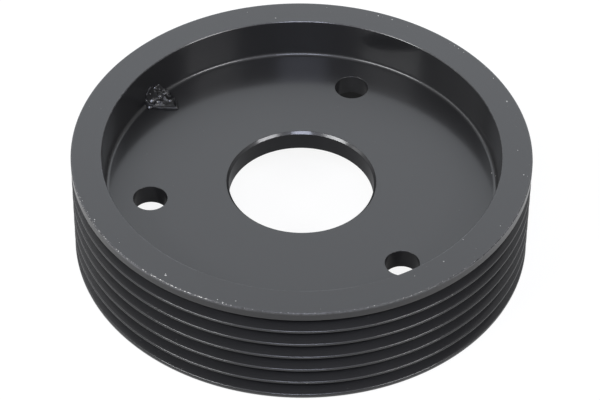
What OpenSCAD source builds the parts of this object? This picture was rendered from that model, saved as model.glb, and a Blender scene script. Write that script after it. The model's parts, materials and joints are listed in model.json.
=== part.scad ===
// Ribbed-belt pulley of a power steering pump, turned as one piece.
// The axis is +Z, the front of the pulley is up, and the origin is the middle of
// the rear face of the rim, on which the pulley stands. Millimetres.

/* [Rim] */
// Diameter over the tips of the ridges and over the two end flanges
rim_d = 94.5; // [93:0.5:140]
// From the tips of the ridges to the inside wall of the rim, at the front and rear faces
rim_t = 6.3; // [5:0.1:7.5]
// How much further in the wall is where it meets the web
wall_draft = 0.5; // [0:0.1:0.8]
// Break on the outer edge of the front face
front_break = 0.2; // [0.1:0.05:0.6]
// Radius on the outer edge of the rear face
rear_round = 1.2; // [0.4:0.1:1.2]
// Chamfer where the inside wall meets the front face and the rear face
mouth_chamfer = 0.15; // [0.1:0.05:0.8]

/* [Belt track] */
// Number of V grooves
groove_count = 6; // [5:1:8]
// Distance from one groove to the next
groove_pitch = 3.56; // [3.4:0.02:3.6]
// Angle between the two flanks of a groove
groove_angle = 40; // [38:0.5:42]
// Radius at the tip of each ridge
tip_r = 0.25; // [0.2:0.01:0.3]
// Radius at the root of each groove
root_r = 0.5; // [0.3:0.05:0.5]
// From the front face to the middle of the first groove
front_margin = 3.6; // [3:0.1:6]
// From the middle of the last groove to the rear face
rear_margin = 3.1; // [3.1:0.1:6]

/* [Web] */
// Depth of the web below the front face of the rim
recess_depth = 8.8; // [6:0.1:11]
// Thickness of the web
web_t = 4.4; // [3:0.1:6]
// Radius in the corner between the web and the wall of the rim
corner_r = 0.9; // [0.4:0.1:1.5]

/* [Mounting] */
// Diameter of the centre bore
bore_d = 30; // [16:0.5:36]
// Chamfer on the front edge of the bore
bore_chamfer = 0.5; // [0.2:0.1:1]
// Number of bolt holes
bolt_count = 3; // [3:1:6]
// Diameter of the circle through the bolt holes
bolt_circle_d = 63; // [50:0.5:64]
// Diameter of each bolt hole
bolt_hole_d = 7; // [5:0.1:8]
// Direction of the first bolt hole, from +X towards +Y
bolt_angle = 70.5; // [0:0.5:119.5]

/* [Hidden] */

// Facets of a full turn
$fn = 180;
// Straight steps along a tip, a root, a corner and the rear round
tip_steps = 6;
root_steps = 7;
corner_steps = 6;
round_steps = 7;

rim_r = rim_d / 2;
wall_r = rim_r - rim_t;
web_r = wall_r - wall_draft;
bore_r = bore_d / 2;
rim_w = front_margin + (groove_count - 1) * groove_pitch + rear_margin;
web_front = rim_w - recess_depth;
web_back = web_front - web_t;

// A tip circle touches the outer diameter and both flanks beside it, and a root
// circle touches both flanks of its groove. Radii of their centres:
half_angle = groove_angle / 2;
tip_centre_r = rim_r - tip_r;
sharp_tip_r = tip_centre_r + tip_r / sin(half_angle);
sharp_root_r = sharp_tip_r - groove_pitch / 2 / tan(half_angle);
root_centre_r = sharp_root_r + root_r / sin(half_angle);
tip_sweep = 90 - half_angle;
root_sweep = 90 + half_angle;

// Height of the middle of groove i, and of the tip just in front of it
function groove_z(i) = rim_w - front_margin - i * groove_pitch;
function tip_z(i) = groove_z(i) + groove_pitch / 2;

// Points on an arc, as [distance from the axis, height]
function arc(centre, r, from, to, steps) =
    [for (i = [0:steps])
        let (a = from + (to - from) * i / steps)
        centre + r * [cos(a), sin(a)]];

// The tip in front of groove i. The two end tips turn into the flanges, so each
// of them is half a tip.
function tip(i) =
    let (from = i == 0 ? 0 : tip_sweep, to = i == groove_count ? 0 : -tip_sweep)
    arc([tip_centre_r, tip_z(i)], tip_r, from, to, tip_steps);

function root(i) =
    arc([root_centre_r, groove_z(i)], root_r, root_sweep, 360 - root_sweep, root_steps);

// The belt track, from the front flange to the rear flange
function belt_track() = [
    for (i = [0:groove_count - 1]) each concat(tip(i), root(i)),
    each tip(groove_count)
];

// The inside wall of the rim, up from the web to the front face
function front_wall() = concat(
    arc([web_r - corner_r, web_front + corner_r], corner_r, -90, 0, corner_steps),
    [[wall_r, rim_w - mouth_chamfer], [wall_r + mouth_chamfer, rim_w]]
);

// The inside wall of the rim, up from the rear face to the web
function rear_wall() = concat(
    [[wall_r + mouth_chamfer, 0], [wall_r, mouth_chamfer]],
    arc([web_r - corner_r, web_back - corner_r], corner_r, 0, 90, corner_steps)
);

function bore_edge() = [
    [bore_r, web_back],
    [bore_r, web_front - bore_chamfer],
    [bore_r + bore_chamfer, web_front]
];

// Half of the pulley cut along its axis
module section() {
    polygon(concat(
        bore_edge(),
        front_wall(),
        [[rim_r - front_break, rim_w], [rim_r, rim_w - front_break]],
        belt_track(),
        arc([rim_r - rear_round, rear_round], rear_round, 0, -90, round_steps),
        rear_wall()
    ));
}

module bolt_holes() {
    for (i = [0:bolt_count - 1])
        rotate(bolt_angle + i * 360 / bolt_count)
            translate([bolt_circle_d / 2, 0, web_back - 1])
                cylinder(d = bolt_hole_d, h = web_t + 2);
}

module pulley() {
    color([0.17, 0.17, 0.18])
        difference() {
            rotate_extrude() section();
            bolt_holes();
        }
}

pulley();
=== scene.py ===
"""Ribbed-belt pulley of a power steering pump, with its paint, its wear and its stage.

The pulley stands on its rear face with its axis up. Sizes that a maker would quote are
millimetres here, and every mesh is written in metres in the frame of the packed part:
+Z is the axis, +X is to the right of the camera and +Y is away from it.
"""

import json
import math
import random

import bmesh
import bpy
from mathutils import Matrix, Vector, noise


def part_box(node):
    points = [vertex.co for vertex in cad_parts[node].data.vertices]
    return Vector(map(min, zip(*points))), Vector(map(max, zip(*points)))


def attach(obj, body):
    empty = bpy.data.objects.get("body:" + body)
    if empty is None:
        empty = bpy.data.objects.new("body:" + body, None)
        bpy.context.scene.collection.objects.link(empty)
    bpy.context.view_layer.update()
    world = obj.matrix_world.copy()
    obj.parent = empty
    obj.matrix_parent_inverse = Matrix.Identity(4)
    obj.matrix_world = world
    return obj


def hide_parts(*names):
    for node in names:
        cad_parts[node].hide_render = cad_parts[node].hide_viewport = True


bl_info = {
    "name": "Power Steering Pulley",
    "version": (1, 0, 0),
    "blender": (4, 5, 0),
    "location": "View3D > Sidebar > Pulley",
    "description": "Turns a painted ribbed-belt pulley, wears its paint and lights it",
    "category": "Object",
}

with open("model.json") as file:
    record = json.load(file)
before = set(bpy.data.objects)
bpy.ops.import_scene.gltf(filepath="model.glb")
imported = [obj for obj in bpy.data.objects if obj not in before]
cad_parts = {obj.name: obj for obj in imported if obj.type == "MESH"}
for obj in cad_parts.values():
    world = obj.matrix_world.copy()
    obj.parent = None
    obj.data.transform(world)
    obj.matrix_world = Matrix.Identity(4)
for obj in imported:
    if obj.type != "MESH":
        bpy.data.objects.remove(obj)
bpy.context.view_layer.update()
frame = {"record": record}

MM = 0.001
BODY = "root"
NODE = "pulley"

# How far the bright face of a paint chip stands off the paint, in millimetres. The ridges
# and the front face lie this much inside the packed box, which leaves room for the chips.
CHIP_LIFT = 0.012

# How far the turned rim, bore and bolt holes reach over the flat of the web, in
# millimetres. Flat plates fill the rest of it.
RIM_LAND = 1.5
BORE_LAND = 1.0
BOLT_LAND = 0.6

# Refractive indices of the paint, of the gloss that lies over it, of the crumpled drip
# and of the drops on the drip
PAINT_IOR = 1.45
GLOSS_IOR = 1.5
DRIP_IOR = 1.5
DROP_IOR = 1.65


def mount(name):
    """The mount of that name in the packed record."""
    return next(m for m in frame["record"]["mounts"] if m["name"] == name)


PULLEY_LOW, PULLEY_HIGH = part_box(NODE)
RIM_D = (PULLEY_HIGH.x - PULLEY_LOW.x) / MM - 2 * CHIP_LIFT
RIM_W = (PULLEY_HIGH.z - PULLEY_LOW.z) / MM - CHIP_LIFT
BORE_D = 2 * mount("pilot_bore")["dims"]["r_mm"]
BOLTS = mount("hub_bolts")["dims"]
WEB_FRONT = mount("bolt_head_face")["pos_m"][2] / MM
WEB_BACK = mount("hub_face")["pos_m"][2] / MM


# Sizes and colours


class PulleySizes(bpy.types.PropertyGroup):
    """Sizes of the turned pulley, in millimetres."""

    rim_d: bpy.props.FloatProperty(
        name="Rim diameter",
        description="Diameter over the tips of the ridges and over the two flanges",
        default=RIM_D,
    )
    rim_w: bpy.props.FloatProperty(
        name="Rim width",
        description="From the rear face of the rim to its front face",
        default=RIM_W,
    )
    rim_t: bpy.props.FloatProperty(
        name="Rim thickness",
        description="From the tips of the ridges to the inside wall, at the front face",
        default=6.3,
    )
    wall_draft: bpy.props.FloatProperty(
        name="Wall draft",
        description="How much further in the inside wall is where it meets the web",
        default=0.5,
    )
    mouth_chamfer: bpy.props.FloatProperty(
        name="Mouth chamfer",
        description="Chamfer where the inside wall meets the front and the rear face",
        default=0.15,
    )
    front_break: bpy.props.FloatProperty(
        name="Front break",
        description="Radius on the outer edge of the front face",
        default=0.2,
    )
    rear_round: bpy.props.FloatProperty(
        name="Rear round",
        description="Radius on the outer edge of the rear face",
        default=1.2,
    )
    corner_r: bpy.props.FloatProperty(
        name="Corner radius",
        description="Radius in the corner between the web and the wall of the rim",
        default=0.9,
    )
    web_front: bpy.props.FloatProperty(
        name="Web front",
        description="Height of the front of the web above the rear face of the rim",
        default=WEB_FRONT,
    )
    web_back: bpy.props.FloatProperty(
        name="Web back",
        description="Height of the rear of the web above the rear face of the rim",
        default=WEB_BACK,
    )
    bore_d: bpy.props.FloatProperty(
        name="Bore diameter", description="Diameter of the centre bore", default=BORE_D
    )
    bore_chamfer: bpy.props.FloatProperty(
        name="Bore chamfer",
        description="Chamfer on the front edge of the bore",
        default=0.5,
    )
    bolt_count: bpy.props.IntProperty(
        name="Bolt holes", description="Number of bolt holes", default=BOLTS["count"]
    )
    bolt_circle_d: bpy.props.FloatProperty(
        name="Bolt circle",
        description="Diameter of the circle through the bolt holes",
        default=BOLTS["pcd_mm"],
    )
    bolt_hole_d: bpy.props.FloatProperty(
        name="Bolt hole diameter",
        description="Diameter of each bolt hole",
        default=2 * BOLTS["hole_r_mm"],
    )
    bolt_angle: bpy.props.FloatProperty(
        name="Bolt angle",
        description="Direction of the first bolt hole, from +X towards +Y",
        default=math.radians(70.5),
        subtype="ANGLE",
    )
    groove_count: bpy.props.IntProperty(
        name="Grooves", description="Number of V grooves", default=6
    )
    groove_pitch: bpy.props.FloatProperty(
        name="Groove pitch",
        description="Distance from one groove to the next",
        default=3.56,
    )
    groove_angle: bpy.props.FloatProperty(
        name="Groove angle",
        description="Angle between the two flanks of a groove",
        default=math.radians(40),
        subtype="ANGLE",
    )
    tip_r: bpy.props.FloatProperty(
        name="Tip radius",
        description="Radius at the tip of each ridge, with the paint that rounds it",
        default=0.33,
    )
    root_r: bpy.props.FloatProperty(
        name="Root radius",
        description="Radius at the root of each groove",
        default=0.5,
    )
    front_margin: bpy.props.FloatProperty(
        name="Front margin",
        description="From the front face to the middle of the first groove",
        default=3.6,
    )
    edge_r: bpy.props.FloatProperty(
        name="Edge radius",
        description="Radius that the paint gives to the edges of chamfers and holes",
        default=0.1,
    )
    facets: bpy.props.IntProperty(
        name="Facets", description="Facets of a full turn of the rim", default=360
    )
    bore_facets: bpy.props.IntProperty(
        name="Bore facets", description="Facets of a full turn of the bore", default=240
    )
    bolt_facets: bpy.props.IntProperty(
        name="Bolt hole facets",
        description="Facets of a full turn of a bolt hole",
        default=96,
    )


class PaintFinish(bpy.types.PropertyGroup):
    """Colours and gloss of the paint and of the steel under it."""

    paint: bpy.props.FloatVectorProperty(
        name="Paint",
        description="Colour of the black paint",
        default=(0.009, 0.009, 0.0098),
        min=0.0,
        max=1.0,
        subtype="COLOR",
    )
    # This colour is also the painted highlight along the front and mouth edges of the rim.
    scuffed_and_highlight: bpy.props.FloatVectorProperty(
        name="Scuffed paint",
        description="Colour of the paint where handling has rubbed it",
        default=(0.15, 0.15, 0.155),
        min=0.0,
        max=1.0,
        subtype="COLOR",
    )
    steel: bpy.props.FloatVectorProperty(
        name="Steel",
        description="Colour of the bright steel under the paint",
        default=(0.62, 0.61, 0.59),
        min=0.0,
        max=1.0,
        subtype="COLOR",
    )
    roughness: bpy.props.FloatProperty(
        name="Roughness",
        description="Roughness of the paint under its gloss",
        default=0.45,
    )
    gloss: bpy.props.FloatProperty(
        name="Gloss", description="Share of the gloss that lies over the paint", default=0.7
    )
    gloss_roughness: bpy.props.FloatProperty(
        name="Gloss roughness", description="Roughness of that gloss", default=0.16
    )
    drip_roughness: bpy.props.FloatProperty(
        name="Drip roughness",
        description="Roughness of the thick drip of paint in the corner",
        default=0.42,
    )
    bead_roughness: bpy.props.FloatProperty(
        name="Bead roughness",
        description="Roughness of the round drops that stand on the drip",
        default=0.22,
    )


class PaintWear(bpy.types.PropertyGroup):
    """How much paint is chipped off, and where."""

    seed: bpy.props.IntProperty(
        name="Seed", description="Start of the random numbers", default=11
    )
    knocks: bpy.props.FloatProperty(
        name="Knocks",
        description="How many chips the knocked stretches have, as a share of the photo's",
        default=1.0,
        min=0.1,
    )
    stray_chips: bpy.props.IntProperty(
        name="Stray chips",
        description="Small chips scattered over the front face of the rim",
        default=16,
    )


class StageSettings(bpy.types.PropertyGroup):
    """The camera and the light."""

    camera_place: bpy.props.FloatVectorProperty(
        name="Camera",
        description="Where the camera stands",
        default=(0.0, -0.448931, 0.430135),
        subtype="TRANSLATION",
        unit="LENGTH",
    )
    camera_aim: bpy.props.FloatVectorProperty(
        name="Aim",
        description="Point that the camera looks at",
        default=(-0.00023, -0.01518, 0.0245),
        subtype="TRANSLATION",
        unit="LENGTH",
    )
    camera_roll: bpy.props.FloatProperty(
        name="Roll",
        description="How far the camera is turned about its line of sight",
        default=math.radians(0.64),
        subtype="ANGLE",
    )
    camera_lens: bpy.props.FloatProperty(
        name="Lens",
        description="Focal length on a sensor 36 mm wide",
        default=177.392,
        subtype="DISTANCE_CAMERA",
    )
    front_light: bpy.props.FloatProperty(
        name="Front light",
        description="Radiance of the three lamps in front of the pulley",
        default=18.0,
    )
    side_light: bpy.props.FloatProperty(
        name="Side light",
        description="Radiance of the panel on the left of the pulley",
        default=2.5,
    )
    back_light: bpy.props.FloatProperty(
        name="Back light",
        description="Radiance of the wide panel behind the pulley",
        default=1.3,
    )
    ambient: bpy.props.FloatProperty(
        name="Ambient",
        description="Radiance of the white room, as matt surfaces see it",
        default=0.2,
    )
    floor_glow: bpy.props.FloatProperty(
        name="Floor glow",
        description="Light of its own that keeps the floor white in the picture",
        default=0.91,
    )
    floor_shade: bpy.props.FloatProperty(
        name="Floor shade",
        description="Share of the floor that takes light and shadow",
        default=0.12,
    )
    mirrored_glow: bpy.props.FloatProperty(
        name="Mirrored glow",
        description="Share of the floor's glow that shows in the gloss of the paint",
        default=0.62,
    )
    # A painted shadow: the floor's glow in the gloss is turned down in a disc round the axis.
    mirrored_painted_shadow: bpy.props.FloatProperty(
        name="Mirrored shadow",
        description="The same share for the floor under the pulley, which the rim shades",
        default=0.18,
    )
    mirrored_room: bpy.props.FloatProperty(
        name="Mirrored room",
        description="Radiance of the white room, as the gloss of the paint shows it",
        default=0.5,
    )


def settings(name):
    """The property group of that name on the scene."""
    return getattr(bpy.context.scene, name)


# The turned section


class Section:
    """A line beside the axis with a radius at each corner, to be turned about the axis.

    It is a list of stations (r, z, normal r, normal z), with the metal on its right.
    """

    # The largest turn from one station of a rounded corner to the next
    MAX_TURN = math.radians(13)

    def __init__(self, corners):
        self.stations = []
        for i, (r, z, radius) in enumerate(corners):
            here = Vector((r, z))
            before = here - Vector(corners[i - 1][:2]) if i else None
            after = Vector(corners[i + 1][:2]) - here if i + 1 < len(corners) else None
            if before is None or after is None:
                line = (after or before).normalized()
                self._add(here, math.atan2(line.x, -line.y))
                continue
            self._round(here, before.normalized(), after.normalized(), radius)
        self.run = [0.0]
        for a, b in zip(self.stations, self.stations[1:]):
            self.run.append(self.run[-1] + math.hypot(b[0] - a[0], b[1] - a[1]))

    def _add(self, point, normal_angle):
        self.stations.append(
            (point.x, point.y, math.cos(normal_angle), math.sin(normal_angle))
        )

    def _round(self, corner, arriving, leaving, radius):
        """Stations round one corner, tangent to the two lines that meet in it."""
        turn = math.atan2(
            arriving.x * leaving.y - arriving.y * leaving.x, arriving.dot(leaving)
        )
        start = corner - arriving * radius * math.tan(abs(turn) / 2)
        side = math.copysign(1, turn)
        first = math.atan2(arriving.x, -arriving.y)
        centre = start + radius * side * Vector((math.cos(first), math.sin(first)))
        steps = max(2, math.ceil(abs(turn) / self.MAX_TURN))
        for k in range(steps + 1):
            a = first + turn * k / steps
            self._add(centre - radius * side * Vector((math.cos(a), math.sin(a))), a)

    def run_at(self, r, z):
        """Distance along the section of the station nearest to a point."""
        gaps = [math.hypot(s[0] - r, s[1] - z) for s in self.stations]
        return self.run[gaps.index(min(gaps))]

    def at(self, run):
        """The station at a distance along the section."""
        k = next((i for i, d in enumerate(self.run[1:]) if d >= run), len(self.run) - 2)
        share = (run - self.run[k]) / (self.run[k + 1] - self.run[k])
        a, b = self.stations[k], self.stations[k + 1]
        return tuple(u + (v - u) * share for u, v in zip(a, b))


def rim_section(size):
    """The rim and its belt track, from the front of the web round to its rear."""
    rim_r = size.rim_d / 2
    wall_r = rim_r - size.rim_t
    web_r = wall_r - size.wall_draft
    half = size.groove_angle / 2
    sharp_tip_r = rim_r - size.tip_r + size.tip_r / math.sin(half)
    sharp_root_r = sharp_tip_r - size.groove_pitch / 2 / math.tan(half)
    flange_step = (sharp_tip_r - rim_r) * math.tan(half)
    first_groove = size.rim_w - size.front_margin
    grooves = [first_groove - i * size.groove_pitch for i in range(size.groove_count)]
    web_edge = web_r - size.corner_r - RIM_LAND

    track = [(rim_r, grooves[0] + size.groove_pitch / 2 - flange_step, size.tip_r)]
    for z in grooves:
        track.append((sharp_root_r, z, size.root_r))
        track.append((sharp_tip_r, z - size.groove_pitch / 2, size.tip_r))
    track[-1] = (rim_r, grooves[-1] - size.groove_pitch / 2 + flange_step, size.tip_r)

    return Section(
        [
            (web_edge, size.web_front, 0),
            (web_r, size.web_front, size.corner_r),
            (wall_r, size.rim_w - size.mouth_chamfer, size.edge_r),
            (wall_r + size.mouth_chamfer, size.rim_w, size.edge_r),
            (rim_r, size.rim_w, size.front_break),
            *track,
            (rim_r, 0, size.rear_round),
            (wall_r + size.mouth_chamfer, 0, size.edge_r),
            (wall_r, size.mouth_chamfer, size.edge_r),
            (web_r, size.web_back, size.corner_r),
            (web_edge, size.web_back, 0),
        ]
    )


def bore_section(size):
    """The wall of the bore, from the rear of the web up to its front."""
    r = size.bore_d / 2
    land = r + size.bore_chamfer + BORE_LAND
    return Section(
        [
            (land, size.web_back, 0),
            (r, size.web_back, size.edge_r),
            (r, size.web_front - size.bore_chamfer, size.edge_r),
            (r + size.bore_chamfer, size.web_front, size.edge_r),
            (land, size.web_front, 0),
        ]
    )


def bolt_section(size):
    """The wall of one bolt hole, from the rear of the web up to its front."""
    r = size.bolt_hole_d / 2
    land = r + BOLT_LAND
    return Section(
        [
            (land, size.web_back, 0),
            (r, size.web_back, size.edge_r),
            (r, size.web_front, size.edge_r),
            (land, size.web_front, 0),
        ]
    )


class Turning:
    """A mesh of turned sections and flat plates, with a true normal at every vertex."""

    def __init__(self):
        self.bm = bmesh.new()
        self.normals = []

    def turn(self, section, facets, centre=(0.0, 0.0)):
        """Turns a section about an upright axis. Returns its first and last ring."""
        angles = [2 * math.pi * i / facets for i in range(facets)]
        rings = []
        for r, z, normal_r, normal_z in section.stations:
            ring = []
            for a in angles:
                x, y = math.cos(a), math.sin(a)
                place = (centre[0] + r * x, centre[1] + r * y, z)
                ring.append(self.bm.verts.new([v * MM for v in place]))
                self.normals.append((normal_r * x, normal_r * y, normal_z))
            rings.append(ring)
        for inner, outer in zip(rings, rings[1:]):
            for i in range(facets):
                j = (i + 1) % facets
                self.bm.faces.new((inner[i], outer[i], outer[j], inner[j]))
        return rings[0], rings[-1]

    def plate(self, loops, up):
        """Fills the flat area between an outer loop and the loops inside it."""
        edges = []
        for loop in loops:
            for a, b in zip(loop, loop[1:] + loop[:1]):
                edges.append(self.bm.edges.get((a, b)))
        made = bmesh.ops.triangle_fill(
            self.bm, use_beauty=True, use_dissolve=False, edges=edges, normal=(0, 0, up)
        )
        faces = [f for f in made["geom"] if isinstance(f, bmesh.types.BMFace)]
        if not faces:
            raise RuntimeError("the web could not be filled between its holes")
        for f in faces:
            f.normal_update()
            if f.normal.z * up < 0:
                f.normal_flip()

    def finish(self, name, material):
        """The object, smooth shaded by the normals of its sections."""
        mesh = bpy.data.meshes.new(name)
        self.bm.to_mesh(mesh)
        self.bm.free()
        mesh.shade_smooth()
        mesh.normals_split_custom_set_from_vertices(self.normals)
        return place_piece(name, mesh, material)


def place_piece(name, mesh, material):
    """Links a piece of the pulley, gives it its material and lets it ride on the body."""
    mesh.materials.append(material)
    piece = bpy.data.objects.new(name, mesh)
    bpy.context.scene.collection.objects.link(piece)
    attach(piece, BODY)
    return piece


# Materials


class Group:
    """A node tree under construction, with its nodes laid out from left to right."""

    # Spacing of the nodes in the editor, and the number of rows they are spread over
    COLUMN_WIDTH = 190
    ROW_HEIGHT = 60
    ROWS = 5

    def __init__(self, tree):
        self.tree = tree
        self.column = 0

    def add(self, kind, **values):
        """Adds a node. Values name its properties or, where it has none, its inputs."""
        node = self.tree.nodes.new(kind)
        self.column += 1
        row = self.column % self.ROWS
        node.location = (self.COLUMN_WIDTH * self.column, -self.ROW_HEIGHT * row)
        for key, value in values.items():
            if hasattr(node, key):
                setattr(node, key, value)
            else:
                self.feed(node.inputs[key.replace("_", " ")], value)
        return node

    def feed(self, socket, value):
        """Links an output to a socket, or sets the socket to a plain value."""
        if isinstance(value, bpy.types.NodeSocket):
            self.tree.links.new(value, socket)
        else:
            socket.default_value = value

    def math(self, operation, *values, clamp=False):
        """A Math node's output."""
        node = self.add("ShaderNodeMath", operation=operation, use_clamp=clamp)
        for socket, value in zip(node.inputs, values):
            self.feed(socket, value)
        return node.outputs[0]

    def hypot(self, a, b):
        """The length of a line that runs a along one axis and b along another."""
        squares = self.math("MULTIPLY", a, a), self.math("MULTIPLY", b, b)
        return self.math("SQRT", self.math("ADD", *squares))

    def ramp(self, value, low, high):
        """A value that rises smoothly from 0 at low to 1 at high."""
        node = self.add("ShaderNodeMapRange", interpolation_type="SMOOTHSTEP")
        for key, v in (("Value", value), ("From Min", low), ("From Max", high)):
            self.feed(node.inputs[key], v)
        return node.outputs["Result"]

    def mix(self, share, a, b):
        """A colour between a and b."""
        node = self.add("ShaderNodeMix", data_type="RGBA")
        self.feed(node.inputs["Factor"], share)
        colours = [s for s in node.inputs if s.type == "RGBA"]
        self.feed(colours[0], a)
        self.feed(colours[1], b)
        return next(s for s in node.outputs if s.type == "RGBA")

    def noise(self, vector, scale, detail=3.0, roughness=0.5):
        """A noise texture's value, with its scale in features per metre."""
        node = self.add("ShaderNodeTexNoise")
        for key, v in (
            ("Vector", vector),
            ("Scale", scale),
            ("Detail", detail),
            ("Roughness", roughness),
        ):
            self.feed(node.inputs[key], v)
        return node.outputs[0]

    def place(self):
        """A point's place on the pulley, in metres."""
        return self.add("ShaderNodeTexCoord").outputs["Object"]

    def use(self, group_name, **values):
        """Places a node group with its own values."""
        node = self.add("ShaderNodeGroup")
        node.node_tree = bpy.data.node_groups[group_name]
        for key, value in values.items():
            self.feed(node.inputs[key.replace("_", " ")], value)
        return node.outputs


def shader_group(name, inputs, outputs):
    """An empty shader node group. Returns its builder, its inputs and its output sockets."""
    tree = bpy.data.node_groups.new(name, "ShaderNodeTree")
    for key, default in inputs.items():
        socket = tree.interface.new_socket(
            key, in_out="INPUT", socket_type="NodeSocketFloat"
        )
        socket.default_value = default
    for key in outputs:
        tree.interface.new_socket(
            key, in_out="OUTPUT", socket_type="NodeSocketFloat"
        )
    group = Group(tree)
    given = group.add("NodeGroupInput").outputs
    result = group.add("NodeGroupOutput").inputs
    return group, given, result


def paint_grain_group():
    """The fine orange peel of sprayed paint, and slow changes in how thick it lies."""
    g, given, result = shader_group(
        "Paint Grain", {"Grain Size": 0.0005, "Patch Size": 0.02}, ("Height", "Patches")
    )
    place = g.place()
    for name, size, detail in (
        ("Height", "Grain Size", 4.0),
        ("Patches", "Patch Size", 5.0),
    ):
        scale = g.math("DIVIDE", 1.0, given[size])
        g.feed(result[name], g.noise(place, scale, detail=detail))


def turning_marks_group():
    """Fine rings left by the lathe tool, which the paint does not quite hide."""
    # The rings follow the distance from the axis on flat faces and the height on walls. A
    # share below 1 keeps them on chamfers, where both change alike.
    height_share = 0.83
    # Noise moves them: its features per metre, and its reach in radians of a ring
    wander_scale, wander_reach = 900.0, 9.0
    g, given, result = shader_group(
        "Turning Marks", {"Feed": 0.00022, "Unevenness": 0.6}, ("Height",)
    )
    x, y, z = g.add("ShaderNodeSeparateXYZ", Vector=g.place()).outputs
    along = g.math("ADD", g.hypot(x, y), g.math("MULTIPLY", z, height_share))
    line = g.add("ShaderNodeCombineXYZ", X=along).outputs[0]
    wander = g.noise(line, wander_scale, detail=2.0)
    turns = g.math("DIVIDE", along, given["Feed"])
    uneven = g.math("MULTIPLY", wander, given["Unevenness"])
    phase = g.math("MULTIPLY", uneven, wander_reach)
    wave = g.math("SINE", g.math("ADD", g.math("MULTIPLY", turns, 2 * math.pi), phase))
    g.feed(result["Height"], g.math("MULTIPLY_ADD", wave, 0.5, 0.5))


def edge_wear_and_highlight_group():
    """A band of rubbed paint and of painted highlight, at a given distance from the axis and
    height.
    """
    # Two noises say where the band is broken, one in small patches and one in long
    # stretches: features per metre, and share in their sum
    fine, fine_share = 1400.0, 0.6
    coarse, coarse_share = 60.0, 0.5
    # Sum from which the band begins at an amount of 0, how much lower that is at an
    # amount of 1, and the sum from which it is full
    start, start_drop, full = 0.75, 0.3, 0.8
    g, given, result = shader_group(
        "Edge Wear And Highlight",
        {"Radius": 0.047, "Height": 0.0245, "Reach": 0.0006, "Amount": 0.5},
        ("Mask", "Near"),
    )
    place = g.place()
    x, y, z = g.add("ShaderNodeSeparateXYZ", Vector=place).outputs
    out = g.math("SUBTRACT", g.hypot(x, y), given["Radius"])
    up = g.math("SUBTRACT", z, given["Height"])
    near = g.math("SUBTRACT", 1.0, g.ramp(g.hypot(out, up), 0.0, given["Reach"]))
    patches = g.noise(place, fine, detail=6.0, roughness=0.65)
    stretches = g.noise(place, coarse, detail=2.0)
    band_noise = g.math(
        "ADD",
        g.math("MULTIPLY", patches, fine_share),
        g.math("MULTIPLY", stretches, coarse_share),
    )
    begin = g.math("SUBTRACT", start, g.math("MULTIPLY", given["Amount"], start_drop))
    # This share marks rubbed paint, and on the front and mouth edges also a painted highlight.
    rubbed = g.ramp(band_noise, begin, full)
    g.feed(result["Mask"], g.math("MULTIPLY", near, rubbed))
    g.feed(result["Near"], near)


def dust_group():
    """Pale specks of dust that lie on faces that look up."""
    # Radius of a speck's solid middle and of its faint edge, as shares of its size
    middle, edge = 0.03, 0.075
    # Upward part of a face's normal where dust begins to lie, and where it lies fully
    steep, level = 0.6, 0.95
    g, given, result = shader_group(
        "Dust", {"Speck Size": 0.0016, "Amount": 0.3}, ("Mask",)
    )
    cells = g.add("ShaderNodeTexVoronoi")
    g.feed(cells.inputs["Vector"], g.place())
    g.feed(cells.inputs["Scale"], g.math("DIVIDE", 1.0, given["Speck Size"]))
    speck = g.math("SUBTRACT", 1.0, g.ramp(cells.outputs["Distance"], middle, edge))
    chance = g.add("ShaderNodeSeparateColor", Color=cells.outputs["Color"]).outputs[0]
    kept = g.math("LESS_THAN", chance, given["Amount"])
    normal = g.add("ShaderNodeNewGeometry").outputs["Normal"]
    upward = g.add("ShaderNodeSeparateXYZ", Vector=normal).outputs[2]
    faces_up = g.ramp(upward, steep, level)
    g.feed(result["Mask"], g.math("MULTIPLY", g.math("MULTIPLY", speck, kept), faces_up))


def shared_groups():
    """Builds each node group once."""
    for name, build in (
        ("Paint Grain", paint_grain_group),
        ("Turning Marks", turning_marks_group),
        ("Edge Wear And Highlight", edge_wear_and_highlight_group),
        ("Dust", dust_group),
    ):
        if name not in bpy.data.node_groups:
            build()


def new_material(name):
    """An empty material with its builder and its Principled BSDF."""
    material = bpy.data.materials.new(name)
    material.use_nodes = True
    material.node_tree.nodes.clear()
    g = Group(material.node_tree)
    shader = g.add("ShaderNodeBsdfPrincipled")
    output = g.add("ShaderNodeOutputMaterial")
    g.tree.links.new(shader.outputs[0], output.inputs["Surface"])
    return material, g, shader.inputs


def rgba(colour, tone=1.0):
    """A colour made darker or lighter by a factor, with full opacity."""
    return (*(c * tone for c in colour), 1.0)


# Noise values at which the paint counts as thin and as thick, its tones there, and how much
# rougher it is where it lies thick, under the scuffs and their painted highlight, and beside
# the edge of the bore
THIN, THICK = 0.25, 0.75
THIN_TONE, THICK_TONE = 0.92, 1.08
THICK_ROUGHER, SCUFF_AND_HIGHLIGHT_ROUGHER, BORE_EDGE_ROUGHER = 0.04, 0.12, 0.07

# Colour of dust, and the shares of the scuffs with their painted highlight, and of dust, that
# cover the paint
DUST = (0.16, 0.155, 0.15)
SCUFF_AND_HIGHLIGHT_COVER, DUST_COVER = 0.8, 0.35


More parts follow.
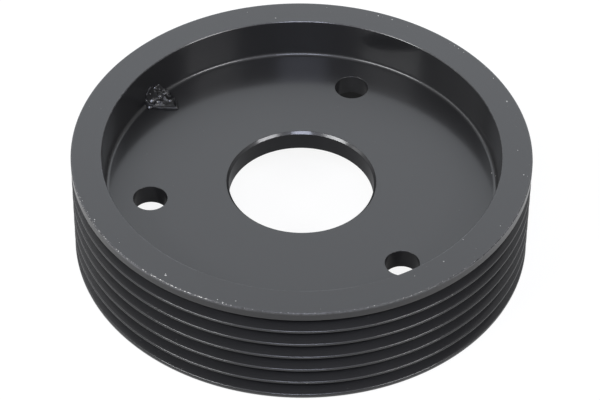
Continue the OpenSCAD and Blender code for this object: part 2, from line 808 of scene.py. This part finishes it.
def black_paint():
    """Semi-gloss black paint over turned steel, rubbed along the edges, with a painted
    highlight along the front and mouth edges.
    """
    shared_groups()
    size, finish = settings("pulley_sizes"), settings("paint_finish")
    material, g, shader = new_material("black_paint")
    grain = g.use("Paint Grain", Grain_Size=0.00045, Patch_Size=0.018)
    marks = g.use("Turning Marks", Feed=0.00024, Unevenness=0.7)
    dust = g.use("Dust", Speck_Size=0.0019, Amount=0.16)["Mask"]
    rim_edge, mouth_edge, bore_edge = [
        g.use("Edge Wear And Highlight", Radius=r * MM, Height=z * MM, Reach=reach, Amount=amount)
        for r, z, reach, amount in (
            (size.rim_d / 2, size.rim_w - size.front_break, 0.0005, 1.4),
            (size.rim_d / 2 - size.rim_t, size.rim_w, 0.0004, 0.9),
            (
                (size.bore_d + size.bore_chamfer) / 2,
                size.web_front - size.bore_chamfer / 2,
                0.0008,
                0.3,
            ),
        )
    ]
    # The scuffs on the front and mouth edges are partly real rubbing and partly a painted
    # highlight: a lighter line along those edges.
    scuff_and_highlight = g.math("MAXIMUM", rim_edge["Mask"], mouth_edge["Mask"])
    scuff_and_highlight = g.math("MAXIMUM", scuff_and_highlight, bore_edge["Mask"])
    thick = g.ramp(grain["Patches"], THIN, THICK)
    base = g.mix(thick, rgba(finish.paint, THIN_TONE), rgba(finish.paint, THICK_TONE))
    base = g.mix(g.math("MULTIPLY", scuff_and_highlight, SCUFF_AND_HIGHLIGHT_COVER), base, rgba(finish.scuffed_and_highlight))
    base = g.mix(g.math("MULTIPLY", dust, DUST_COVER), base, rgba(DUST))
    g.feed(shader["Base Color"], base)
    least = finish.roughness - THICK_ROUGHER / 2
    rough = g.math("MULTIPLY_ADD", thick, THICK_ROUGHER, least)
    rough = g.math("MULTIPLY_ADD", scuff_and_highlight, SCUFF_AND_HIGHLIGHT_ROUGHER, rough)
    rough = g.math("MULTIPLY_ADD", bore_edge["Near"], BORE_EDGE_ROUGHER, rough)
    g.feed(shader["Roughness"], rough)
    shader["IOR"].default_value = PAINT_IOR
    shader["Coat Weight"].default_value = finish.gloss
    shader["Coat Roughness"].default_value = finish.gloss_roughness
    shader["Coat IOR"].default_value = GLOSS_IOR
    peel = g.add("ShaderNodeBump", Strength=0.35, Distance=0.000012, Height=grain["Height"])
    rings = g.add(
        "ShaderNodeBump",
        Strength=0.25,
        Distance=0.000004,
        Height=marks["Height"],
        Normal=peel.outputs[0],
    )
    g.feed(shader["Normal"], rings.outputs[0])
    return material


def bare_steel():
    """Bright steel where the paint has come off, mottled and finely scratched."""
    # Noise values at which the steel is dull and bright, and the tone of dull steel
    dull, bright, dull_tone = 0.3, 0.7, 0.7
    # The least roughness, and how much the scratches add to it
    smooth, scratched = 0.2, 0.3
    shared_groups()
    finish = settings("paint_finish")
    material, g, shader = new_material("bare_steel")
    grain = g.use("Paint Grain", Grain_Size=0.00012, Patch_Size=0.0015)
    patch = g.ramp(grain["Patches"], dull, bright)
    tone = g.mix(patch, rgba(finish.steel, dull_tone), rgba(finish.steel))
    g.feed(shader["Base Color"], tone)
    rough = g.math("MULTIPLY_ADD", grain["Height"], scratched, smooth)
    g.feed(shader["Roughness"], rough)
    shader["Metallic"].default_value = 1.0
    bump = g.add("ShaderNodeBump", Strength=0.6, Distance=0.00002, Height=grain["Height"])
    g.feed(shader["Normal"], bump.outputs[0])
    return material


def drip_paint(name, roughness, ior):
    """Thick black paint, as rough and as glossy as the drip or its drops need it."""
    # Tone of the darkest patches, and how much the roughness varies over the patches
    deep_tone, uneven = 0.6, 0.16
    shared_groups()
    finish = settings("paint_finish")
    material, g, shader = new_material(name)
    grain = g.use("Paint Grain", Grain_Size=0.0006, Patch_Size=0.002)
    tone = g.mix(grain["Patches"], rgba(finish.paint, deep_tone), rgba(finish.paint))
    g.feed(shader["Base Color"], tone)
    rough = g.math("MULTIPLY_ADD", grain["Patches"], uneven, roughness - uneven / 2)
    g.feed(shader["Roughness"], rough)
    shader["IOR"].default_value = ior
    bump = g.add("ShaderNodeBump", Strength=0.5, Distance=0.00006, Height=grain["Height"])
    g.feed(shader["Normal"], bump.outputs[0])
    return material


# Pieces


class PULLEY_OT_turn(bpy.types.Operator):
    """Turn the pulley: rim, belt track, web, bore and bolt holes"""

    bl_idname = "pulley.turn"
    bl_label = "Turn the pulley"

    def execute(self, context):
        size = settings("pulley_sizes")
        turning = Turning()
        rim_first, rim_last = turning.turn(rim_section(size), size.facets)
        bore_first, bore_last = turning.turn(bore_section(size), size.bore_facets)
        front, back = [rim_first, bore_last], [rim_last, bore_first]
        bolt = bolt_section(size)
        for i in range(size.bolt_count):
            a = size.bolt_angle + 2 * math.pi * i / size.bolt_count
            centre = [size.bolt_circle_d / 2 * v for v in (math.cos(a), math.sin(a))]
            first, last = turning.turn(bolt, size.bolt_facets, centre)
            front.append(last)
            back.append(first)
        turning.plate(front, up=1)
        turning.plate(back, up=-1)
        pulley = turning.finish("pulley_body", black_paint())
        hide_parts(NODE)
        return {"FINISHED"}


class ChipSheet:
    """A mesh of thin bright flakes that follow the turned section of the rim."""

    RINGS = 3
    SPOKES = 14
    # Least and greatest reach of the ragged outline, as shares of half the length or width
    RAGGED = (0.55, 1.0)
    # Fall from the middle of a flake to its edge, in lifts, and the depth of its
    # underside below the paint, in millimetres
    FALL = 1.4
    DEPTH = 0.03

    def __init__(self, section, lift, rng):
        self.section = section
        self.lift = lift
        self.rng = rng
        self.bm = bmesh.new()

    def point(self, azimuth, run, lift):
        """A point off the painted surface, by direction and distance along the section."""
        r, z, normal_r, normal_z = self.section.at(run)
        r, z = r + normal_r * lift, z + normal_z * lift
        place = Vector((r * math.cos(azimuth), r * math.sin(azimuth), z)) * MM
        return self.bm.verts.new(place)

    def chip(self, azimuth, run, length, width):
        """One flake: a ragged patch whose edge dips under the paint, closed from below."""
        r = self.section.at(run)[0]
        ragged = [self.rng.uniform(*self.RAGGED) for _ in range(self.SPOKES)]
        shares = [k / self.RINGS for k in range(1, self.RINGS + 1)]
        levels = [(share, self.lift * (1 - share**4 * self.FALL)) for share in shares]
        rings = []
        for share, lift in (*levels, (1.0, -self.DEPTH)):
            ring = []
            for i, reach in enumerate(ragged):
                a = 2 * math.pi * i / self.SPOKES
                u = math.cos(a) * length / 2 * reach * share
                v = math.sin(a) * width / 2 * reach * share
                ring.append(self.point(azimuth + u / r, run + v, lift))
            rings.append(ring)
        top = self.point(azimuth, run, self.lift)
        under = self.point(azimuth, run, -self.DEPTH)
        for i in range(self.SPOKES):
            j = (i + 1) % self.SPOKES
            self.bm.faces.new((top, rings[0][i], rings[0][j]))
            self.bm.faces.new((under, rings[-1][j], rings[-1][i]))
            for inner, outer in zip(rings, rings[1:]):
                self.bm.faces.new((inner[i], outer[i], outer[j], inner[j]))

    def finish(self, name, material):
        """The object made of every flake."""
        mesh = bpy.data.meshes.new(name)
        bmesh.ops.recalc_face_normals(self.bm, faces=self.bm.faces)
        self.bm.to_mesh(mesh)
        self.bm.free()
        mesh.shade_smooth()
        return place_piece(name, mesh, material)


# Chips that the photo shows one by one on the front face of the rim: direction in
# degrees, distance from the axis, length and width in millimetres.
FACE_CHIPS = (
    (34.6, 46.9, 0.3, 0.2),
    (29.8, 46.3, 0.35, 0.25),
    (20.1, 45.5, 0.6, 0.4),
    (0.6, 44.3, 0.3, 0.22),
    (351.3, 45.7, 0.4, 0.3),
    (234.7, 45.6, 0.7, 0.4),
    (234.4, 45.3, 0.3, 0.25),
    (254.2, 45.8, 0.35, 0.25),
    (249.9, 46.6, 0.3, 0.25),
    (251.4, 47.0, 0.5, 0.4),
    (207.7, 46.5, 0.45, 0.3),
    (208.3, 46.8, 0.3, 0.22),
    (204.4, 46.9, 0.3, 0.15),
    (200.2, 46.8, 0.35, 0.15),
    (198.9, 46.9, 0.3, 0.12),
    (218.1, 45.6, 0.25, 0.15),
    (301.5, 42.9, 0.3, 0.22),
    (311.0, 43.0, 0.45, 0.3),
    (321.0, 41.5, 0.3, 0.22),
    (331.0, 45.5, 0.3, 0.2),
    (42.5, 46.4, 0.3, 0.18),
    (44.5, 46.5, 0.25, 0.15),
    (46.0, 46.5, 0.3, 0.18),
    (47.5, 46.4, 0.25, 0.15),
    (65.5, 46.2, 0.45, 0.3),
    (69.5, 46.2, 0.45, 0.3),
    (98.0, 42.5, 0.3, 0.22),
)

# Two chips in the corner of the recess and four on the tips of the ridges: direction in
# degrees, distance from the axis, height above the rear face, length and width in
# millimetres.
LOWER_CHIPS = (
    (4.5, 39.5, 15.7, 0.5, 0.32),
    (2.7, 40.3, 16.1, 0.55, 0.35),
    (271.9, 47.2, 4.9, 0.3, 0.22),
    (298.5, 47.1, 11.8, 0.3, 0.2),
    (303.5, 47.2, 12.1, 0.25, 0.15),
    (309.4, 47.1, 19.3, 0.25, 0.15),
)

# Stretches of the rim's front edge that have been knocked: where each starts and ends in
# degrees, the number of chips on it, and how long and how wide they are in millimetres.
KNOCKS = (
    (193.0, 228.0, 34, 0.3, 0.1),
    (197.0, 203.0, 4, 0.4, 0.2),
    (206.5, 209.5, 3, 0.4, 0.24),
    (211.0, 215.5, 4, 0.4, 0.26),
    (218.5, 221.5, 3, 0.45, 0.26),
    (223.0, 225.5, 3, 0.4, 0.22),
    (228.3, 230.5, 2, 0.6, 0.3),
    (231.0, 247.8, 17, 0.55, 0.32),
    (231.0, 247.8, 24, 0.3, 0.1),
    (250.7, 253.6, 3, 0.5, 0.3),
    (255.0, 292.0, 14, 0.3, 0.1),
    (293.0, 345.0, 22, 0.3, 0.1),
)

# Spread of those chips inwards from the edge, in millimetres, and their least and greatest
# length and width, as shares of the values above
KNOCK_SPREAD = 0.06
KNOCK_LENGTHS = (0.4, 1.3)
KNOCK_WIDTHS = (0.5, 1.3)

# Least and greatest distance from the edge, length and width of a stray chip, in millimetres
STRAY_PLACES = (0.1, 2.2)
STRAY_LENGTHS = (0.08, 0.2)
STRAY_WIDTHS = (0.06, 0.14)


class PULLEY_OT_chip(bpy.types.Operator):
    """Chip the paint off the edges and the front face of the rim"""

    bl_idname = "pulley.chip"
    bl_label = "Chip the paint"

    def execute(self, context):
        size, wear = settings("pulley_sizes"), settings("paint_wear")
        rng = random.Random(wear.seed)
        section = rim_section(size)
        rim_r = size.rim_d / 2
        edge = section.run_at(rim_r, size.rim_w)
        sheet = ChipSheet(section, CHIP_LIFT, rng)
        for first, last, count, long, wide in KNOCKS:
            for i in range(round(count * wear.knocks)):
                share = (i + rng.random()) / (count * wear.knocks)
                sheet.chip(
                    math.radians(first + (last - first) * share),
                    edge - abs(rng.gauss(0, KNOCK_SPREAD)),
                    long * rng.uniform(*KNOCK_LENGTHS),
                    wide * rng.uniform(*KNOCK_WIDTHS),
                )
        for degrees, r, long, wide in FACE_CHIPS:
            sheet.chip(math.radians(degrees), edge - (rim_r - r), long, wide)
        for degrees, r, z, long, wide in LOWER_CHIPS:
            sheet.chip(math.radians(degrees), section.run_at(r, z), long, wide)
        for _ in range(wear.stray_chips):
            sheet.chip(
                rng.uniform(0, 2 * math.pi),
                edge - rng.uniform(*STRAY_PLACES),
                rng.uniform(*STRAY_LENGTHS),
                rng.uniform(*STRAY_WIDTHS),
            )
        chips = sheet.finish("paint_chips", bare_steel())
        return {"FINISHED"}


# The drip lies in the corner of the web and the wall: its middle on the web, and how far
# it reaches from there, by direction in degrees, in millimetres. The part of it that would
# be outside the wall is hidden in the metal.
DRIP_MIDDLE = (-29.8, 24.4)
DRIP_REACH = (
    (26.0, 2.8),
    (83.0, 3.7),
    (143.0, 3.4),
    (198.0, 4.6),
    (209.0, 3.7),
    (240.0, 2.85),
    (277.0, 2.65),
    (306.0, 3.4),
    (325.0, 4.4),
    (348.0, 3.4),
)

# How deep its foot is sunk into the web, and how deep its underside is, in millimetres.
DRIP_SINK = 0.05
DRIP_DEPTH = 0.4

# It heaps up against the wall: where it starts to climb (y), how high it gets and how
# thick it lies on the web, in millimetres, and how fast it steepens. Then the direction in
# which it is highest and how wide it is there, in degrees.
HEAP_FOOT = 22.3
HEAP_TOP = 3.2
HEAP_FILM = 0.15
HEAP_STEEPENING = 1.3
HEAP_DIRECTION = 141.7
HEAP_SPREAD = 4.6

# Large and small folds: folds per millimetre, start of their noise, height in
# millimetres, and the share of it that they have on the flat web. The folded heap is
# nowhere thinner than the last value.
FOLDS = ((0.55, (3.1, 7.4, 2.0), 0.55, 0.25), (1.3, (8.3, 1.2, 5.0), 0.16, 0.2))
THINNEST = 0.05

# The rounded lip along its edge: height in millimetres, the share that it wavers by and
# its waves per millimetre, then its middle and half its width as shares of the way out.
# The heap fades under the lip, over a stretch that ends at the last share.
LIP_HEIGHT = 0.55
LIP_WAVER = 0.3
LIP_WAVES = 0.9
LIP_MIDDLE = 0.9
LIP_HALF = 0.09
FADE_LENGTH = 0.2
FADE_END = 0.95

# Round drops on the drip: the place of each (x, y, height above the rear face) and its
# radius, in millimetres.
DRIP_BEADS = (
    (-32.5, 24.1, 18.2, 0.45),
    (-32.9, 23.6, 17.7, 0.32),
    (-31.5, 25.2, 18.6, 0.4),
    (-31.8, 24.8, 18.1, 0.32),
    (-33.2, 23.1, 17.0, 0.35),
    (-32.0, 23.2, 16.8, 0.55),
    (-30.4, 24.4, 17.5, 0.5),
    (-29.3, 25.2, 17.4, 0.36),
    (-30.6, 23.2, 16.7, 0.42),
    (-32.3, 22.0, 16.1, 0.45),
    (-28.2, 23.9, 16.4, 0.36),
)

# The way that the flat side of a drop faces, how far noise turns it (and the noise's
# features per millimetre), how flat the drop is, and how far noise dents it (and the
# noise's features per radius)
DROP_FACES = (0.0, -0.69, 0.72)
DROP_TURN, DROP_TURN_NOISE = 0.35, 3.7
DROP_FLATNESS = 0.75
DROP_DENTS, DROP_DENT_NOISE = 0.2, 1.3

# Where the three noises start that turn each drop, one for each axis. They are the same
# on every run.
DROP_NOISE = ((0.0, 0.0, 0.0), (17.3, 5.1, 9.7), (3.9, 21.4, 13.2))


class PULLEY_OT_drip(bpy.types.Operator):
    """Add the wrinkled drip of paint in the corner of the recess"""

    bl_idname = "pulley.drip"
    bl_label = "Add the drip"

    SPOKES = 180
    RINGS = 60

    def reach(self, angle):
        """How far the drip reaches from its middle in one direction, in degrees."""
        before = DRIP_REACH[-1][0] - 360, DRIP_REACH[-1][1]
        for after in (*DRIP_REACH, (DRIP_REACH[0][0] + 360, DRIP_REACH[0][1])):
            if angle <= after[0]:
                share = (angle - before[0]) / (after[0] - before[0])
                return before[1] + (after[1] - before[1]) * share
            before = after

    def height(self, x, y, share, wall_r):
        """Height of the drip above its sunken foot, at a share of the way to its edge."""
        azimuth = math.degrees(math.atan2(y, x))
        wall_y = math.sqrt(wall_r**2 - x**2)
        climb = min(1.0, max(0.0, (y - HEAP_FOOT) / (wall_y - HEAP_FOOT)))
        off_top = (azimuth - HEAP_DIRECTION) / HEAP_SPREAD
        against_wall = HEAP_TOP * math.exp(-(off_top**2))
        crumpled = HEAP_FILM + (against_wall - HEAP_FILM) * climb**HEAP_STEEPENING
        place = Vector((x, y, 0))
        for per_mm, start, high, flat_share in FOLDS:
            fold = 1 - 3 * abs(noise.noise(place * per_mm + Vector(start)))
            crumpled += high * fold * (flat_share + climb)
        inside = min(1.0, max(0.0, (FADE_END - share) / FADE_LENGTH))
        lip = max(0.0, 1 - ((share - LIP_MIDDLE) / LIP_HALF) ** 2) ** 0.5
        wave = 1 + LIP_WAVER * noise.noise(place * LIP_WAVES)
        return max(crumpled, THINNEST) * inside + LIP_HEIGHT * lip * wave

    def bead(self, bm, place, radius):
        """A drop of paint, flattened along the direction that faces the front and up."""
        place = Vector(place)
        spot = place * DROP_TURN_NOISE
        lean = Vector([noise.noise(spot + Vector(start)) for start in DROP_NOISE])
        flat = (Vector(DROP_FACES) + lean * DROP_TURN).normalized()
        made = bmesh.ops.create_icosphere(bm, subdivisions=3, radius=1.0)
        for v in made["verts"]:
            p = v.co * (1 + DROP_DENTS * noise.noise(v.co * DROP_DENT_NOISE + place))
            v.co = (place + (p - flat * p.dot(flat) * DROP_FLATNESS) * radius) * MM

    def execute(self, context):
        size = settings("pulley_sizes")
        wall_r = size.rim_d / 2 - size.rim_t - size.wall_draft
        foot = size.web_front - DRIP_SINK
        bm = bmesh.new()
        rings = []
        for k in range(1, self.RINGS + 1):
            share = k / self.RINGS
            ring = []
            for i in range(self.SPOKES):
                a = 360 * i / self.SPOKES
                x = DRIP_MIDDLE[0] + self.reach(a) * share * math.cos(math.radians(a))
                y = DRIP_MIDDLE[1] + self.reach(a) * share * math.sin(math.radians(a))
                z = foot + self.height(x, y, share, wall_r)
                ring.append(bm.verts.new(Vector((x, y, z)) * MM))
            rings.append(ring)
        x, y = DRIP_MIDDLE
        top = bm.verts.new(Vector((x, y, foot + self.height(x, y, 0, wall_r))) * MM)
        under = bm.verts.new(Vector((x, y, size.web_front - DRIP_DEPTH)) * MM)
        for i in range(self.SPOKES):
            j = (i + 1) % self.SPOKES
            bm.faces.new((top, rings[0][i], rings[0][j]))
            bm.faces.new((under, rings[-1][j], rings[-1][i]))
            for inner, outer in zip(rings, rings[1:]):
                bm.faces.new((inner[i], outer[i], outer[j], inner[j]))
        beads = bmesh.new()
        for x, y, z, radius in DRIP_BEADS:
            self.bead(beads, (x, y, z), radius)
        finish = settings("paint_finish")
        drip = drip_paint("drip_paint", finish.drip_roughness, DRIP_IOR)
        self.piece("paint_drip", bm, drip)
        drops = drip_paint("bead_paint", finish.bead_roughness, DROP_IOR)
        self.piece("paint_beads", beads, drops)
        return {"FINISHED"}

    def piece(self, name, bm, material):
        """One smooth piece of the drip, with its own material."""
        bmesh.ops.recalc_face_normals(bm, faces=bm.faces)
        mesh = bpy.data.meshes.new(name)
        bm.to_mesh(mesh)
        bm.free()
        mesh.shade_smooth()
        place_piece(name, mesh, material)


# Stage

# Distance of the lamps, and height of the point that they look at. Lengths are in metres
# from here on, apart from the camera's sensor.
LAMP_DISTANCE = 1.2
LAMP_AIM = 0.02

# Half the side of the floor, its gap below the rim, and its colour as a lit surface
FLOOR_HALF = 3.0
FLOOR_GAP = 0.0002
FLOOR_WHITE = (0.8, 0.8, 0.8)

# A painted shadow: the floor's mirror image is dark up to the first of these distances from
# the axis, and as bright as the open floor beyond the second
PAINTED_RIM_SHADOW = (0.038, 0.05)

# Width of the camera's sensor in millimetres, and how near and far the camera sees
SENSOR_WIDTH = 36.0
CLIP = (0.01, 20.0)


class PULLEY_OT_stage(bpy.types.Operator):
    """Set the floor, the white room, the lamps and the camera"""

    bl_idname = "pulley.stage"
    bl_label = "Set the stage"

    def execute(self, context):
        self.floor()
        self.room()
        stage = settings("stage_settings")
        # Directions and sides are in degrees. The left lamp is a little brighter than the
        # front lamp, and the right lamp a little dimmer.
        for name, azimuth, elevation, wide, tall, light, colour in (
            ("lamp_front", 270, 48, 20, 11, stage.front_light, (0.76, 0.8, 1.0)),
            ("lamp_left", 217, 40, 28, 11, stage.front_light * 1.1, (0.97, 0.98, 1.0)),
            ("lamp_right", 325, 41, 24, 11, stage.front_light * 0.95, (0.97, 0.97, 1.0)),
            ("panel_left", 165, 33, 40, 12, stage.side_light, (0.97, 0.98, 1.0)),
            ("panel_back", 90, 28, 66, 46, stage.back_light, (0.88, 0.93, 1.0)),
        ):
            self.lamp(name, azimuth, elevation, wide, tall, light, colour)
        self.camera()
        context.scene.view_settings.view_transform = "Standard"
        return {"FINISHED"}

    def lamp(self, name, azimuth, elevation, wide, tall, radiance, colour):
        """A soft box that looks at the pulley. Its sides are angles seen from there."""
        a, e = math.radians(azimuth), math.radians(elevation)
        away = Vector((math.cos(a) * math.cos(e), math.sin(a) * math.cos(e), math.sin(e)))
        light = bpy.data.lights.new(name, "AREA")
        light.shape = "RECTANGLE"
        light.size = 2 * LAMP_DISTANCE * math.tan(math.radians(wide) / 2)
        light.size_y = 2 * LAMP_DISTANCE * math.tan(math.radians(tall) / 2)
        light.energy = radiance * math.pi * light.size * light.size_y
        light.color = colour
        lamp = bpy.data.objects.new(name, light)
        lamp.location = Vector((0, 0, LAMP_AIM)) + away * LAMP_DISTANCE
        lamp.rotation_mode = "QUATERNION"
        lamp.rotation_quaternion = (-away).to_track_quat("-Z", "Y")
        bpy.context.scene.collection.objects.link(lamp)

    def shown(self, g, mirrored=1.0):
        """1 for rays from the camera or let through, and a share of that for mirrored rays."""
        path = g.add("ShaderNodeLightPath").outputs
        glossy = g.math("MULTIPLY", path["Is Glossy Ray"], mirrored)
        seen = g.math("MAXIMUM", path["Is Camera Ray"], glossy)
        return g.math("MAXIMUM", seen, path["Is Transmission Ray"])

    def floor(self):
        """A white floor a hair below the rim's rear face, which is clear from below."""
        stage = settings("stage_settings")
        bm = bmesh.new()
        bmesh.ops.create_grid(bm, x_segments=1, y_segments=1, size=FLOOR_HALF)
        mesh = bpy.data.meshes.new("floor")
        bm.to_mesh(mesh)
        bm.free()
        floor = bpy.data.objects.new("floor", mesh)
        floor.location.z = PULLEY_LOW.z - FLOOR_GAP
        bpy.context.scene.collection.objects.link(floor)
        material = bpy.data.materials.new("floor_white")
        material.use_nodes = True
        material.node_tree.nodes.clear()
        g = Group(material.node_tree)
        matt = g.add("ShaderNodeBsdfDiffuse")
        shade = rgba([stage.floor_shade] * 3)
        g.feed(matt.inputs["Color"], g.mix(self.shown(g), rgba(FLOOR_WHITE), shade))
        glow = g.add("ShaderNodeEmission")
        spot = g.add("ShaderNodeVectorMath", operation="LENGTH", Vector=g.place())
        # A painted shadow under the pulley: the floor's glow, as the gloss shows it, is turned
        # down in a disc round the axis.
        outside_painted_shadow = g.ramp(spot.outputs["Value"], *PAINTED_RIM_SHADOW)
        mirrored = g.math(
            "MULTIPLY_ADD",
            outside_painted_shadow,
            stage.mirrored_glow - stage.mirrored_painted_shadow,
            stage.mirrored_painted_shadow,
        )
        shown = self.shown(g, mirrored)
        g.feed(glow.inputs["Strength"], g.math("MULTIPLY", shown, stage.floor_glow))
        both = g.add("ShaderNodeAddShader")
        g.feed(both.inputs[0], matt.outputs[0])
        g.feed(both.inputs[1], glow.outputs[0])
        one_sided = g.add("ShaderNodeMixShader")
        g.feed(one_sided.inputs[0], g.add("ShaderNodeNewGeometry").outputs["Backfacing"])
        g.feed(one_sided.inputs[1], both.outputs[0])
        g.feed(one_sided.inputs[2], g.add("ShaderNodeBsdfTransparent").outputs[0])
        output = g.add("ShaderNodeOutputMaterial")
        g.feed(output.inputs["Surface"], one_sided.outputs[0])
        mesh.materials.append(material)

    def room(self):
        """A white room: full white where it is seen, dimmer as a light."""
        world = bpy.data.worlds.new("white_room")
        bpy.context.scene.world = world
        world.use_nodes = True
        world.node_tree.nodes.clear()
        g = Group(world.node_tree)
        stage = settings("stage_settings")
        shown = self.shown(g, stage.mirrored_room)
        strength = g.math("MAXIMUM", shown, stage.ambient)
        background = g.add("ShaderNodeBackground")
        g.feed(background.inputs["Strength"], strength)
        output = g.add("ShaderNodeOutputWorld")
        g.feed(output.inputs["Surface"], background.outputs[0])

    def camera(self):
        """The camera at the photograph's place."""
        stage = settings("stage_settings")
        data = bpy.data.cameras.new("camera")
        data.sensor_fit = "HORIZONTAL"
        data.sensor_width = SENSOR_WIDTH
        data.lens = stage.camera_lens
        data.clip_start, data.clip_end = CLIP
        camera = bpy.data.objects.new("camera", data)
        place, aim = Vector(stage.camera_place), Vector(stage.camera_aim)
        look = (aim - place).to_track_quat("-Z", "Y").to_matrix()
        roll = Matrix.Rotation(stage.camera_roll, 3, "Z")
        camera.rotation_mode = "QUATERNION"
        camera.location = place
        camera.rotation_quaternion = (look @ roll).to_quaternion()
        bpy.context.scene.collection.objects.link(camera)
        bpy.context.scene.camera = camera


# Panel and registration

OPERATORS = (PULLEY_OT_turn, PULLEY_OT_chip, PULLEY_OT_drip, PULLEY_OT_stage)
GROUPS = {
    "pulley_sizes": PulleySizes,
    "paint_finish": PaintFinish,
    "paint_wear": PaintWear,
    "stage_settings": StageSettings,
}


class PULLEY_PT_panel(bpy.types.Panel):
    """The pulley's operators and sizes in the sidebar"""

    bl_idname = "PULLEY_PT_panel"
    bl_label = "Pulley"
    bl_space_type = "VIEW_3D"
    bl_region_type = "UI"
    bl_category = "Pulley"

    def draw(self, context):
        for operator in OPERATORS:
            self.layout.operator(operator.bl_idname)
        for key, group in GROUPS.items():
            box = self.layout.box()
            box.label(text=group.__doc__)
            for name in group.__annotations__:
                box.prop(getattr(context.scene, key), name)


CLASSES = (*GROUPS.values(), *OPERATORS, PULLEY_PT_panel)


def register():
    """Registers the classes and puts the settings on the scene."""
    for cls in CLASSES:
        bpy.utils.register_class(cls)
    for key, group in GROUPS.items():
        setattr(bpy.types.Scene, key, bpy.props.PointerProperty(type=group))


def unregister():
    """Takes the settings off the scene and the classes away."""
    for key in GROUPS:
        delattr(bpy.types.Scene, key)
    for cls in reversed(CLASSES):
        bpy.utils.unregister_class(cls)


def main():
    """Builds the pulley and its stage."""
    register()
    bpy.ops.pulley.turn()
    bpy.ops.pulley.chip()
    bpy.ops.pulley.drip()
    bpy.ops.pulley.stage()
    bpy.context.view_layer.update()


if __name__ == "__main__":
    main()
